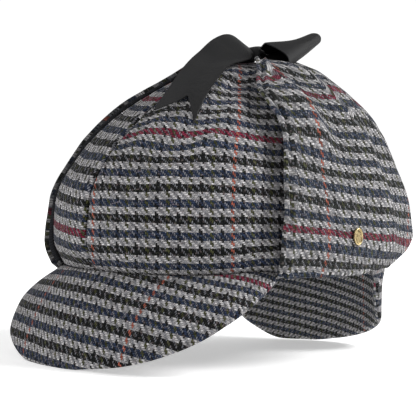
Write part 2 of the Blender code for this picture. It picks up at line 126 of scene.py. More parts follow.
# Lower edge of a peak: share of spread, outward and drop as shares of peak drop
FRONT_PEAK_EDGE = (
    (-1.00, 0.06, 0.12),
    (-0.75, 0.62, 0.45),
    (-0.50, 0.60, 0.76),
    (-0.30, 0.52, 0.95),
    (-0.18, 0.47, 1.00),
    (-0.02, 0.465, 1.00),
    (0.15, 0.465, 0.955),
    (0.30, 0.49, 0.907),
    (0.42, 0.53, 0.835),
    (0.52, 0.54, 0.745),
    (0.62, 0.51, 0.630),
    (0.75, 0.45, 0.43),
    (1.00, 0.05, 0.10),
)
REAR_PEAK_EDGE = (
    (-1.00, -0.10, 0.09),
    (-0.85, -0.10, 0.10),
    (-0.75, -0.10, 0.13),
    (-0.68, -0.08, 0.26),
    (-0.60, -0.07, 0.40),
    (-0.50, -0.04, 0.53),
    (-0.40, 0.01, 0.64),
    (-0.30, 0.05, 0.72),
    (-0.18, 0.07, 0.80),
    (0.00, 0.08, 0.885),
    (0.15, 0.06, 0.935),
    (0.30, 0.01, 0.965),
    (0.50, -0.08, 0.96),
    (0.75, -0.14, 0.78),
    (0.90, -0.10, 0.52),
    (1.00, -0.02, 0.12),
)

# Flap outlines: step up the crown, front and rear edge angles of the left flap, then of the right
FLAP_OUTLINE = (
    (0.00, 66.0, 116.0, 42.0, 114.0),
    (0.12, 66.5, 131.0, 43.0, 118.0),
    (0.24, 67.5, 140.0, 44.0, 118.0),
    (0.40, 67.5, 140.0, 45.0, 119.0),
    (0.48, 67.0, 139.0, 45.0, 120.0),
    (0.55, 65.0, 138.0, 45.0, 121.0),
    (0.62, 60.5, 137.5, 45.0, 123.5),
    (0.70, 55.5, 137.0, 45.0, 126.0),
    (0.82, 52.5, 138.0, 45.0, 133.0),
    (0.90, 48.0, 140.0, 46.0, 138.0),
    (0.93, 46.0, 142.0, 47.0, 141.0),
)

# Soft folds that fan out from the flap's tip: step up the crown and the angle of each fold
FLAP_FOLDS = (
    (0.00, 87.0, 112.0, 132.0),
    (0.12, 86.5, 110.0, 130.0),
    (0.24, 85.5, 108.0, 126.0),
    (0.40, 83.5, 105.0, 121.0),
    (0.48, 82.0, 104.0, 119.0),
    (0.55, 80.0, 101.0, 116.0),
    (0.62, 77.5, 98.0, 112.0),
    (0.70, 72.5, 95.0, 108.0),
    (0.76, 66.5, 92.0, 104.0),
    (0.82, 60.0, 86.0, 100.0),
    (0.93, 52.0, 70.0, 90.0),
)

FLAP_TUCK = 0.014
FLAP_TIP_SHIFT = 0.0065
FLAP_FOLD_SHIFT = 0.0035

# Curl of the rim and the parts near it on the wearer's left: angle and rise
RIM_CURL = (
    (38.0, 0.0000),
    (52.0, 0.0012),
    (60.0, 0.0024),
    (68.0, 0.0026),
    (90.0, 0.0032),
    (112.0, 0.0040),
    (130.0, 0.0030),
    (150.0, 0.0010),
    (178.0, 0.0000),
)
CURL_FADE_ABOVE = 0.045
CURL_FADE_BELOW = 0.032

# Gores: name, seam angles, angle of the grain line, distance from the rim to a burgundy band,
# distance of an overcheck line from the grain line, rise of the bands per arc length
GORES = (
    ("crown_front_left", 0.0, 72.0, 61.0, 0.0765, -0.0140, 0.0),
    ("crown_side_left", 72.0, 126.0, 99.0, 0.0400, 0.0100, 0.0),
    ("crown_back_left", 126.0, 180.0, 150.0, 0.0620, 0.0000, 0.0),
    ("crown_back_right", 180.0, 234.0, 210.0, 0.0620, 0.0000, 0.0),
    ("crown_side_right", 234.0, 288.0, 261.0, 0.0400, 0.0100, 0.0),
    ("crown_front_right", 288.0, 360.0, 299.0, 0.0285, 0.0300, 0.09),
)

# Sag of the bands over the soft dents near the top of the front: angle and sag
FRONT_WAVES = (
    (0.0, 0.0036),
    (8.0, 0.0012),
    (12.5, -0.0008),
    (18.0, -0.0008),
    (24.0, 0.0002),
    (30.5, 0.0022),
    (35.0, 0.0014),
    (42.0, -0.0013),
    (50.0, -0.0002),
    (60.0, 0.0000),
)

# Front tail: forward, sideways and rise from the knot in ribbon widths, roll in degrees, width share
FRONT_TAIL = (
    (0.245, 0.00, 0.06, 36.0, 0.40),
    (0.50, 0.02, 0.13, 38.0, 0.74),
    (0.84, 0.06, -0.03, 38.0, 0.91),
    (1.26, 0.14, -0.31, 36.0, 0.92),
    (1.83, 0.35, -0.62, 33.0, 0.89),
    (2.44, 0.63, -1.02, 31.0, 0.86),
    (3.20, 1.02, -1.54, 30.0, 0.86),
)
BACK_TAIL = ((0.30, 0.36), (0.80, 0.70), (1.20, 1.00), (1.80, 1.00), (2.50, 1.00))
BACK_TAIL_HEADING = 187.0

# Angle in degrees over which mesh edges stay sharp
SHARP_ANGLE = 70.0


def table_curve(rows, column, where):
    """Smooth curve without overshoot through one column of a table."""
    x = np.array([row[0] for row in rows])
    y = np.array([row[column] for row in rows])
    h = np.diff(x)
    slope = np.diff(y) / h
    tangent = np.zeros_like(y)
    tangent[0] = slope[0]
    tangent[-1] = slope[-1]
    for i in range(1, len(x) - 1):
        if slope[i - 1] * slope[i] > 0.0:
            w0 = 2.0 * h[i] + h[i - 1]
            w1 = h[i] + 2.0 * h[i - 1]
            tangent[i] = (w0 + w1) / (w0 / slope[i - 1] + w1 / slope[i])
    where = np.clip(np.asarray(where, float), x[0], x[-1])
    cell = np.clip(np.searchsorted(x, where, side="right") - 1, 0, len(x) - 2)
    t = (where - x[cell]) / h[cell]
    return (
        y[cell] * (1.0 + 2.0 * t) * (1.0 - t) ** 2
        + h[cell] * tangent[cell] * t * (1.0 - t) ** 2
        + y[cell + 1] * t * t * (3.0 - 2.0 * t)
        + h[cell] * tangent[cell + 1] * t * t * (t - 1.0)
    )


def smooth_ramp(value):
    """Ease from 0 to 1."""
    value = np.clip(value, 0.0, 1.0)
    return value * value * (3.0 - 2.0 * value)


def hump(distance, width):
    """Smooth hump, 1 in its middle."""
    return np.exp(-((distance / width) ** 2))


def unit(vector):
    """Vectors scaled to length one."""
    return vector / np.maximum(np.linalg.norm(vector, axis=-1, keepdims=True), 1e-12)


def crown_point(angle, step):
    """Point on the crown's smooth outer face."""
    angle, step = np.broadcast_arrays(np.asarray(angle, float), np.asarray(step, float))
    turn = np.radians(angle)
    height = RIM_HEIGHT + CROWN_HEIGHT * table_curve(CROWN_PROFILE, 1, step)
    size = table_curve(CROWN_PROFILE, 2, step)
    back = CROWN_LEAN * table_curve(CROWN_PROFILE, 3, step)
    x = 0.5 * RIM_WIDTH * size * np.sin(turn)
    y = -0.5 * RIM_LENGTH * size * np.cos(turn) + back
    return np.stack([x, y, height], axis=-1)


def crown_normal(angle, step):
    """Outward direction of the crown's face."""
    angle = np.asarray(angle, float)
    low = np.clip(np.asarray(step, float) - 0.006, 0.0, 0.97)
    around = crown_point(angle + 1.0, step) - crown_point(angle - 1.0, step)
    upward = crown_point(angle, low + 0.012) - crown_point(angle, low)
    return unit(np.cross(around, upward))


def level_normal(angle):
    """Outward direction at the rim, level with the table."""
    normal = crown_normal(angle, 0.05)
    normal[..., 2] = 0.0
    return unit(normal)


def grid_normals(grid):
    """Directions square to a grid of points."""
    return unit(np.cross(np.gradient(grid, axis=0), np.gradient(grid, axis=1)))


def curled(points):
    """Points of any piece, raised with the rim's curl and less so above and below it."""
    angle = np.degrees(np.arctan2(points[:, 0] / RIM_WIDTH, -points[:, 1] / RIM_LENGTH))
    over = points[:, 2] - RIM_HEIGHT
    share = 1.0 - smooth_ramp(np.where(over > 0.0, over / CURL_FADE_ABOVE, -over / CURL_FADE_BELOW))
    moved = points.copy()
    moved[:, 2] += table_curve(RIM_CURL, 1, angle) * share
    return moved


def knot_place():
    """Middle of the knot, just over the apex of the crown."""
    apex = crown_point(0.0, 1.0)
    return apex + np.array([0.0, -0.003, 0.5 * KNOT_HEIGHT + GAP])


def crown_below(x, y):
    """Height of the crown's outer face under a place near its top."""
    steps = np.linspace(0.3, 0.999, 300)
    best = 0
    angle = np.degrees(np.arctan2(x / RIM_WIDTH, -(y - CROWN_LEAN) / RIM_LENGTH))
    for _ in range(3):
        points = crown_point(angle, steps)
        best = int(np.argmin(np.hypot(points[:, 0] - x, points[:, 1] - y)))
        lean = CROWN_LEAN * float(table_curve(CROWN_PROFILE, 3, steps[best]))
        angle = np.degrees(np.arctan2(x / RIM_WIDTH, -(y - lean) / RIM_LENGTH))
    return float(crown_point(angle, steps[best])[2])


# The solids stand with their footprint's middle on the origin; the sizes above start at the rim's
knot_low, knot_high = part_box("bow_knot")
ORIGIN = 0.5 * (np.array(knot_low) + np.array(knot_high)) - knot_place()
ORIGIN[2] = 0.0


def rim_arc(angle):
    """Way round the rim, at its full size, from the front to an angle."""
    turns = np.radians(np.linspace(-360.0, 720.0, 2161))
    speed = np.hypot(0.5 * RIM_WIDTH * np.cos(turns), 0.5 * RIM_LENGTH * np.sin(turns))
    way = np.concatenate([[0.0], np.cumsum(0.5 * (speed[1:] + speed[:-1]) * np.diff(turns))])
    way = way - np.interp(0.0, turns, way)
    return np.interp(np.radians(angle), turns, way)


def climb(step):
    """Way up the crown's side from the rim to a step."""
    steps = np.linspace(0.0, 1.0, 401)
    height = CROWN_HEIGHT * table_curve(CROWN_PROFILE, 1, steps)
    radius = 0.25 * (RIM_LENGTH + RIM_WIDTH) * table_curve(CROWN_PROFILE, 2, steps)
    way = np.concatenate([[0.0], np.cumsum(np.hypot(np.diff(height), np.diff(radius)))])
    return np.interp(step, steps, way)


def size_at(step):
    """Share of the rim's size that the crown has at a step."""
    return table_curve(CROWN_PROFILE, 2, step)


def way_along(points):
    """Way to each point of a line of points, or of each row of a grid, from its first point."""
    steps = np.linalg.norm(np.diff(points, axis=-2), axis=-1)
    return np.concatenate([np.zeros((*steps.shape[:-1], 1)), np.cumsum(steps, axis=-1)], axis=-1)


def lumps(points, size, seed):
    """Soft irregular relief from -1 to 1, with lumps of about that size in metres."""
    flat = points.reshape(-1, 3) / size + seed
    values = [noise.noise(Vector(p)) for p in flat]
    return np.array(values).reshape(points.shape[:-1])


def close_ends(count, edge):
    """Shares from 0 to 1 that crowd towards both ends."""
    near = edge * np.array([0.0, 0.02, 0.1, 0.25, 0.5, 0.75])
    return np.concatenate([near, np.linspace(edge, 1.0 - edge, count), 1.0 - near[::-1]])


def bullnose(distance, radius):
    """Share of full thickness at a distance from a rounded edge."""
    short = np.clip(1.0 - distance / radius, 0.0, 1.0)
    return np.sqrt(np.maximum(1.0 - short * short, 0.0004))


WARP_THREAD = 0.00090
WEFT_THREAD = 0.00099
OVERCHECK_PLACE = 11.0 * WARP_THREAD
BURGUNDY_PLACE = 14.0 * WEFT_THREAD


def cut_of_cloth(across, along, check, band):
    """Cloth coordinates with an overcheck line at one place across and a burgundy band along."""
    return np.stack([across - check + OVERCHECK_PLACE, along - band + BURGUNDY_PLACE], axis=-1)


def unrolled(share, depth, point_at):
    """Flat pattern of a bent sheet, laid out strip by strip from its middle."""
    u, w = np.meshgrid(share, depth, indexing="ij")
    grid = point_at(u, w)
    count, rows = u.shape
    flat = np.zeros((count, rows, 2))
    start = count // 2
    steps = np.linalg.norm(np.diff(grid[start], axis=0), axis=-1)
    flat[start, 1:, 1] = -np.cumsum(steps)
    for way in (1, -1):
        i = start
        while 0 <= i + way < count:
            for j in range(rows):
                k = j + 1 if j + 1 < rows else j - 1
                near = np.linalg.norm(grid[i + way, j] - grid[i, j])
                far = np.linalg.norm(grid[i + way, j] - grid[i, k])
                base = flat[i, k] - flat[i, j]
                length = np.linalg.norm(base)
                along = (near * near - far * far + length * length) / (2.0 * length)
                off = math.sqrt(max(near * near - along * along, 0.0))
                along_way = base / length
                square = np.array([-along_way[1], along_way[0]])
                if square[0] * way < 0.0:
                    square = -square
                flat[i + way, j] = flat[i, j] + along_way * along + square * off
            i += way
    return flat


def pattern_at(share, depth, flat, u, w):
    """Flat pattern read at any share and depth."""
    i = np.clip(np.searchsorted(share, u, side="right") - 1, 0, len(share) - 2)
    j = np.clip(np.searchsorted(depth, w, side="right") - 1, 0, len(depth) - 2)
    a = ((u - share[i]) / (share[i + 1] - share[i]))[..., None]
    b = ((w - depth[j]) / (depth[j + 1] - depth[j]))[..., None]
    low = flat[i, j] * (1.0 - a) + flat[i + 1, j] * a
    high = flat[i, j + 1] * (1.0 - a) + flat[i + 1, j + 1] * a
    return low * (1.0 - b) + high * b


class Graph:
    """Small helper that strings shader nodes together."""

    def __init__(self, owner, shader="Principled BSDF"):
        self.owner = owner
        owner.use_nodes = True
        self.tree = owner.node_tree
        self.shader = self.tree.nodes[shader]

    def node(self, kind, **values):
        made = self.tree.nodes.new(kind)
        for key, value in values.items():
            setattr(made, key, value)
        return made

    def plug(self, socket, value):
        if isinstance(value, bpy.types.NodeSocket):
            self.tree.links.new(value, socket)
        else:
            socket.default_value = value

    def fed(self, kind, values, **settings):
        """Outputs of a new node whose first inputs take the values."""
        made = self.node(kind, **settings)
        for socket, value in zip(made.inputs, values):
            self.plug(socket, value)
        return made.outputs

    def math(self, operation, a, b=0.0, c=0.0):
        return self.fed("ShaderNodeMath", (a, b, c), operation=operation)[0]

    def times(self, a, b):
        return self.math("MULTIPLY", a, b)

    def line(self, value, gain, base):
        return self.math("MULTIPLY_ADD", value, gain, base)

    def layered(self, tone, *layers):
        """Tone times a straight line of each layer: its field, gain and base."""
        for layer in layers:
            tone = self.times(tone, self.line(*layer))
        return tone

    def step_between(self, value, low, high):
        return self.times(self.math("GREATER_THAN", value, low), self.math("LESS_THAN", value, high))

    def smooth(self, value, low, high, at_low=0.0, at_high=1.0):
        values = (value, low, high, at_low, at_high)
        return self.fed("ShaderNodeMapRange", values, interpolation_type="SMOOTHSTEP")[0]

    def mix(self, share, a, b):
        made = self.node("ShaderNodeMix", data_type="RGBA")
        self.plug(made.inputs[0], share)
        for socket, value in ((made.inputs[6], a), (made.inputs[7], b)):
            self.plug(socket, (*value, 1.0) if isinstance(value, tuple) else value)
        return made.outputs[2]

    def shade(self, colour, value):
        made = self.node("ShaderNodeVectorMath", operation="SCALE")
        self.plug(made.inputs[0], colour)
        self.plug(made.inputs["Scale"], value)
        return made.outputs[0]

    def noise(self, vector, scale, detail, output="Fac"):
        made = self.node("ShaderNodeTexNoise")
        self.plug(made.inputs["Vector"], vector)
        made.inputs["Scale"].default_value = scale
        made.inputs["Detail"].default_value = detail
        return made.outputs[output]

    def combine(self, x, y, z=0.0):
        return self.fed("ShaderNodeCombineXYZ", (x, y, z))[0]

    def parts(self, vector):
        return self.fed("ShaderNodeSeparateXYZ", (vector,))

    def length(self, vector):
        return self.fed("ShaderNodeVectorMath", (vector,), operation="LENGTH")["Value"]

    def cloth_place(self):
        """The UV map's metres, whole and as two numbers."""
        place = self.node("ShaderNodeUVMap", uv_map="cloth").outputs[0]
        split = self.parts(place)
        return place, split[0], split[1]

    def bump(self, height, distance, strength):
        made = self.node("ShaderNodeBump")
        made.inputs["Strength"].default_value = strength
        made.inputs["Distance"].default_value = distance
        self.plug(made.inputs["Height"], height)
        self.plug(self.shader.inputs["Normal"], made.outputs[0])


# Colours, linear light
LIGHT_WEFT = (0.345, 0.336, 0.342)
LIGHT_WARP = (0.110, 0.112, 0.126)
BLACK_WOOL = (0.006, 0.0065, 0.007)
OLIVE_WOOL = (0.040, 0.042, 0.017)
NAVY_WOOL = (0.015, 0.023, 0.047)
BURGUNDY_WOOL = (0.135, 0.011, 0.030)
ORANGE_WOOL = (0.245, 0.068, 0.046)
PINK_FLECK = (0.46, 0.36, 0.36)
MOSS_FLECK = (0.20, 0.22, 0.15)
GREY_NAP = (0.115, 0.125, 0.115)
LINING_COLOUR = (0.022, 0.023, 0.027)
LINING_SPECK = (0.16, 0.16, 0.18)
COOL_CHARCOAL = (0.010, 0.0103, 0.0115)
WARM_CHARCOAL = (0.013, 0.0127, 0.013)
BRIGHT_BRASS = (0.62, 0.49, 0.26)
DULL_BRASS = (0.42, 0.32, 0.15)
TARNISHED_BRASS = (0.10, 0.078, 0.040)

# Threads in the check's short repeat and in the long one that brings the coloured lines
WARP_REPEATS = (12.0, 84.0)
WEFT_REPEATS = (16.0, 80.0)
# Stripes of the check over its plain threads: first thread, next thread after it, long repeat, wool
WARP_STRIPES = ((4, 6, False, BLACK_WOOL), (10, 12, False, OLIVE_WOOL), (10, 12, True, ORANGE_WOOL))
WEFT_STRIPES = ((4, 8, False, NAVY_WOOL), (12, 16, False, BLACK_WOOL), (12, 16, True, BURGUNDY_WOOL))
# Sway of the threads, the ribs of lining and ribbon, and the ribbon's paler edge, in metres
THREAD_SWAY = 0.0016
LINING_RIB = 0.0011
RIBBON_RIB = 0.00062
RIBBON_EDGE = (0.0012, 0.0004)


def tweed(name, light=1.0, grey=0.0, rarer=1.0):
    """Checked tweed, woven thread by thread in a two-and-two twill from the UV map's metres."""
    g = Graph(bpy.data.materials.new(name))
    place, across, along = g.cloth_place()
    drift = g.parts(g.noise(place, 90.0, 3.0, "Color"))
    u = g.line(g.math("SUBTRACT", drift[0], 0.5), THREAD_SWAY, across)
    v = g.line(g.math("SUBTRACT", drift[1], 0.5), THREAD_SWAY, along)
    u = g.math("DIVIDE", u, WARP_THREAD)
    v = g.math("DIVIDE", v, WEFT_THREAD)
    end = g.math("FLOOR", u)
    pick = g.math("FLOOR", v)
    u_in = g.math("FRACT", u)
    v_in = g.math("FRACT", v)

    def striped(thread, plain, stripes, repeats):
        row = g.math("FLOORED_MODULO", thread, repeats[0])
        long_row = g.math("FLOORED_MODULO", thread, rarer * repeats[1])
        wool = plain
        for first, after, is_long, other in stripes:
            place_in = long_row if is_long else row
            wool = g.mix(g.step_between(place_in, first - 0.5, after - 0.5), wool, other)
        return wool

    warp = striped(end, LIGHT_WARP, WARP_STRIPES, WARP_REPEATS)
    weft = striped(pick, LIGHT_WEFT, WEFT_STRIPES, WEFT_REPEATS)
    # Twill: each thread floats over two and dips under two, one further on every row
    turn = g.math("FLOORED_MODULO", g.math("ADD", end, pick), 4.0)
    warp_up = g.math("LESS_THAN", turn, 1.5)
    warp_float = g.times(g.math("ADD", turn, v_in), 0.5)
    weft_float = g.times(g.math("ADD", g.math("SUBTRACT", turn, 2.0), u_in), 0.5)

    def thread_height(inside, way):
        off = g.line(inside, 2.0, -1.0)
        left = g.math("MAXIMUM", g.math("SUBTRACT", 1.0, g.times(off, off)), 0.0)
        rise = g.math("SINE", g.times(way, math.pi))
        return g.times(g.math("SQRT", left), g.line(rise, 0.55, 0.45))

    warp_height = thread_height(u_in, warp_float)
    weft_height = thread_height(v_in, weft_float)
    # More of a dark warp thread shows than of a light one
    dark_end = g.step_between(g.math("FLOORED_MODULO", end, 6.0), 3.5, 5.5)
    least = g.line(dark_end, -0.42, 0.56)
    warp_seen = g.times(warp_up, g.smooth(g.math("SUBTRACT", warp_height, least), 0.0, 0.2))
    weft_part = g.times(g.math("SUBTRACT", 1.0, warp_up), weft_height)
    height = g.line(warp_up, warp_height, weft_part)
    colour = g.mix(warp_seen, weft, warp)
    # Mottled yarn: every float a little lighter or darker, with fibres and soft felted patches
    cell = g.node("ShaderNodeTexWhiteNoise", noise_dimensions="3D")
    float_end = g.math("FLOOR", g.times(g.math("ADD", end, g.times(pick, warp_up)), 0.5))
    g.plug(cell.inputs["Vector"], g.combine(float_end, pick, warp_up))
    fibre = g.noise(place, 1500.0, 3.0)
    patch = g.noise(place, 160.0, 3.0)
    mottled = g.layered(light, (cell.outputs["Value"], 0.75, 0.52), (fibre, 1.6, 0.20), (patch, 0.50, 0.78))
    # Painted shade: each thread darker along its sides and towards the ends of its float, where it dips
    # under its neighbours
    tone = g.layered(mottled, (height, 1.0, 0.22))
    # Flecks of other wool in the yarn, and a grey nap where the cloth is brushed
    fleck = g.smooth(g.noise(place, 520.0, 2.0), 0.56, 0.72)
    colour = g.mix(g.times(fleck, 0.22), colour, PINK_FLECK)
    moss = g.smooth(g.noise(g.combine(u, v, 7.0), 0.9, 2.0), 0.58, 0.74)
    colour = g.mix(g.times(moss, 0.25), colour, MOSS_FLECK)
    if grey > 0.0:
        colour = g.mix(grey, colour, GREY_NAP)
    g.plug(g.shader.inputs["Base Color"], g.shade(colour, tone))
    g.shader.inputs["Roughness"].default_value = 0.95
    g.shader.inputs["Specular IOR Level"].default_value = 0.05
    g.shader.inputs["Sheen Weight"].default_value = 0.03
    g.shader.inputs["Sheen Roughness"].default_value = 0.6
    g.bump(g.line(fibre, 0.5, height), 0.00035, 0.9)
    return g.owner


def lining(name):
    """Dark twill lining with fine slanting ribs."""
    g = Graph(bpy.data.materials.new(name))
    place, across, along = g.cloth_place()
    rib = g.math("SINE", g.times(g.math("ADD", across, along), 2.0 * math.pi / LINING_RIB))
    fleck = g.noise(place, 900.0, 3.0)
    patch = g.noise(place, 120.0, 3.0)
    tone = g.layered(1.0, (rib, 0.18, 0.75), (fleck, 0.7, 0.6), (patch, 0.5, 0.75))
    speck = g.smooth(g.noise(place, 1500.0, 1.0), 0.66, 0.74)
    colour = g.mix(g.times(speck, 0.35), LINING_COLOUR, LINING_SPECK)
    g.plug(g.shader.inputs["Base Color"], g.shade(colour, tone))
    g.shader.inputs["Roughness"].default_value = 0.85
    g.shader.inputs["Specular IOR Level"].default_value = 0.2
    g.bump(g.line(rib, 0.5, fleck), 0.0002, 0.7)
    return g.owner


def ribbon(name, light):
    """Charcoal grosgrain ribbon: fine ribs across its width and a soft satin sheen."""
    g = Graph(bpy.data.materials.new(name))
    place, across, along = g.cloth_place()
    rib = g.math("SINE", g.times(along, 2.0 * math.pi / RIBBON_RIB))
    weave = g.noise(g.combine(g.times(across, 2500.0), g.times(along, 600.0)), 1.0, 3.0)
    patch = g.noise(place, 70.0, 3.0)
    begin, full = (0.5 * RIBBON_WIDTH - distance for distance in RIBBON_EDGE)
    edge = g.smooth(g.math("ABSOLUTE", across), begin, full)
    tone = g.layered(light, (rib, 0.06, 0.80), (weave, 0.5, 0.75), (patch, 0.4, 0.8), (edge, 0.35, 1.0))
    g.plug(g.shader.inputs["Base Color"], g.shade(g.mix(patch, COOL_CHARCOAL, WARM_CHARCOAL), tone))
    g.plug(g.shader.inputs["Roughness"], g.line(weave, 0.18, 0.48))
    g.shader.inputs["Specular IOR Level"].default_value = 0.22 * light
    g.shader.inputs["Sheen Weight"].default_value = 0.03 * light
    g.shader.inputs["Sheen Roughness"].default_value = 0.5
    g.bump(g.line(rib, 0.6, weave), 0.00012, 0.5)
    return g.owner


def brass(name):
    """Worn pale brass with fine scratches and darker hollows."""
    g = Graph(bpy.data.materials.new(name))
    place = g.node("ShaderNodeTexCoord").outputs["Object"]
    grain = g.noise(place, 900.0, 4.0)
    tarnish = g.noise(place, 260.0, 3.0)
    polished = g.mix(g.smooth(tarnish, 0.35, 0.7), BRIGHT_BRASS, DULL_BRASS)
    # The field inside the rim is tarnished in its hollows
    across, along = g.cloth_place()[1:]
    out = g.length(g.combine(g.times(across, 2.0 / BADGE_WIDTH), g.times(along, 2.0 / BADGE_HEIGHT)))
    inside = g.math("SUBTRACT", 1.0, g.smooth(out, 0.74, 0.86))
    hollow = g.smooth(g.noise(place, 1100.0, 1.0), 0.40, 0.62)
    worn = g.times(inside, g.line(hollow, 0.55, 0.35))
    g.plug(g.shader.inputs["Base Color"], g.mix(worn, polished, TARNISHED_BRASS))
    g.plug(g.shader.inputs["Roughness"], g.line(grain, 0.3, 0.2))
    g.shader.inputs["Metallic"].default_value = 1.0
    g.bump(g.math("ADD", grain, tarnish), 0.00012, 0.6)
    return g.owner


def add_object(name, data):
    """New object in the scene."""
    made = bpy.data.objects.new(name, data)
    bpy.context.scene.collection.objects.link(made)
    return made


def mesh_piece(name, vertices, faces, cloth, materials, indices=None):
    """Closed piece that stands for its CAD node, with cloth coordinates on its corners."""
    mesh = bpy.data.meshes.new(name + "_cloth")
    points = curled(np.asarray(vertices, float)) + ORIGIN
    mesh.from_pydata(points.tolist(), [], faces)
    corner = np.zeros(len(mesh.loops), np.int32)
    mesh.loops.foreach_get("vertex_index", corner)
    layer = mesh.uv_layers.new(name="cloth")
    layer.data.foreach_set("uv", np.asarray(cloth, np.float32)[corner].ravel())
    for each in materials:
        mesh.materials.append(each)
    if indices is not None:
        mesh.polygons.foreach_set("material_index", np.asarray(indices, np.int32))
    # A few thousand faces tell whether they all look outwards
    centre = points.mean(axis=0)
    volume = 0.0
    for face in faces[:: max(1, len(faces) // 4000)]:
        a, b, c = (points[corner_index] - centre for corner_index in face[:3])
        volume += float(np.dot(a, np.cross(b, c)))
    if volume < 0.0:
        mesh.flip_normals()
    mesh.polygons.foreach_set("use_smooth", np.ones(len(mesh.polygons), bool))
    mesh.set_sharp_from_angle(angle=math.radians(SHARP_ANGLE))
    mesh.update()
    made = add_object(name + "_look", mesh)
    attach(made, "root")
    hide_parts(name)
    return made


def slab_piece(name, outer, inner, cloth, materials, under=None, inner_index=0, edge_index=0, edge_rows=0):
    """Sheet with a thickness between two grids of points."""
    rows, columns = outer.shape[:2]
    shift = rows * columns
    place = np.arange(shift).reshape(rows, columns)
    a = place[:-1, :-1].ravel()
    top = np.stack([a, a + 1, a + columns + 1, a + columns], axis=1)
    low = np.stack([a, a + columns, a + columns + 1, a + 1], axis=1) + shift
    border = np.concatenate([place[0, :-1], place[:-1, -1], place[-1, :0:-1], place[:0:-1, 0]])
    after = np.roll(border, -1)
    sides = np.stack([after, border, border + shift, after + shift], axis=1)
    faces = np.concatenate([top, low, sides]).tolist()
    vertices = np.concatenate([outer.reshape(-1, 3), inner.reshape(-1, 3)])
    flat = np.concatenate([each.reshape(-1, 2) for each in (cloth, cloth if under is None else under)])
    indices = np.concatenate([
        np.where(a // columns < edge_rows, edge_index, 0),
        np.full(len(low), inner_index),
        np.full(len(sides), edge_index),
    ])
    return mesh_piece(name, vertices, faces, flat, materials, indices)


def crown_relief(angle, step, points):
    """Ripples that run down the crown, a few soft dents and the pull beside the near flap."""
    radial = np.stack([np.radians(angle) * 0.075, step * 0.045, np.zeros_like(step)], axis=-1)
    relief = RIPPLE_RISE * lumps(radial, 0.0125, 3.7) + DENT_RISE * lumps(points, 0.030, 11.3)
    fade = smooth_ramp(step / 0.12) * smooth_ramp((0.97 - step) / 0.2)
    edge = (angle - table_curve(FLAP_OUTLINE, 1, step)) * size_at(step)
    pulled = PULL_AT_FLAP * np.where(edge < 0.0, hump(edge, 8.0), hump(edge, 14.0))
    pulled = pulled * smooth_ramp(step / 0.1) * smooth_ramp((0.9 - step) / 0.15)
    return relief * fade - pulled


def build_gore(name, start, end, grain, band, check, slant):
    """One sewn gore; its seams dip and its lower edge turns in."""
    share = close_ends(52, 0.06)
    bottom = 0.012 * np.array([0.0, 0.03, 0.12, 0.28, 0.5, 0.75])
    top = 1.0 - 0.4 * APEX_HOLE / RIM_WIDTH
    steps = np.concatenate([bottom, np.linspace(0.012, 0.9, 74), np.linspace(0.91, top, 10)])
    s, step = np.meshgrid(share, steps, indexing="ij")
    size = np.maximum(size_at(step), 0.01)
    insets = []
    for turn in (start, end - 1.0):
        one_degree = np.linalg.norm(crown_point(turn + 1.0, step) - crown_point(turn, step), axis=-1)
        insets.append(0.5 * GAP / one_degree)
    angle = start + insets[0] + s * (end - start - insets[0] - insets[1])
    normal = crown_normal(angle, step)
    base = crown_point(angle, step)
    way = climb(step)
    from_seam = np.minimum(s, 1.0 - s) * (rim_arc(end) - rim_arc(start)) * size
    seam = SEAM_RIDGE * hump(from_seam - 0.0045, 0.0025) - SEAM_DIP * hump(from_seam, 0.0011)
    waves = np.sin(way / PUCKER_LENGTH + 3.0 * np.sin(way / 0.02))
    pucker = PUCKER_RISE * waves * hump(from_seam, 0.006)
    puff = GORE_PUFF * np.sin(math.pi * s) * smooth_ramp((0.84 - step) / 0.3)
    corner = hump(angle - CORNER_ANGLE, CORNER_SPREAD)
    rounded = bullnose(way, TURN_RADIUS + CORNER_TURN_RADIUS * corner)
    turned_in = (TURN_IN + CORNER_TURN_IN * corner) * (1.0 - rounded)
    relief = crown_relief(angle, step, base)
    lift = puff + relief + (seam + pucker) * smooth_ramp(size / 0.2) - turned_in
    outer = base + normal * lift[..., None]
    inner = base - normal * (CLOTH_THICKNESS - puff - np.minimum(relief, 0.0))[..., None]
    for face in (outer, inner):
        face[:, 0, 2] = RIM_HEIGHT - RIM_SETTLE
    across = size * (rim_arc(angle) - rim_arc(grain))
    along = way + slant * across + 0.0006 * lumps(base, 0.022, 4.4)
    if start == 0.0:
        wave = table_curve(FRONT_WAVES, 1, angle + 40.0 * (0.5 - step))
        along = along + wave * smooth_ramp((step - 0.34) / 0.14)
    cloth = cut_of_cloth(across, along, check, band)
    # The gores' tips under the knot end on a dark band
    shifted = cloth.copy()
    shifted[..., 1] += 4.0 * WEFT_THREAD * smooth_ramp((step - 0.95) / 0.02)
    piece = slab_piece(name, outer, inner, shifted, [TWEED, LINING], inner_index=1)


def peak_sheet(centre, spread, edge, u, w):
    """Middle face of a peak at a share of its spread and of its depth."""
    angle = centre + u * spread
    outward = PEAK_DROP * table_curve(edge, 1, u)
    drop = PEAK_DROP * table_curve(edge, 2, u)
    bow = PEAK_ARCH * (1.0 - np.abs(u) ** 4) * w * (1.0 - w)
    level = level_normal(angle)
    inset = PEAK_ROOT_INSET + NEAR_END_INSET * smooth_ramp((-0.35 - u) / 0.3) * (centre > 90.0)
    point = crown_point(angle, 0.0) - level * inset[..., None] + level * (outward * (w + bow))[..., None]
    point[..., 2] = RIM_HEIGHT - GAP - (drop - GAP) * (w - 0.5 * bow)
    return point


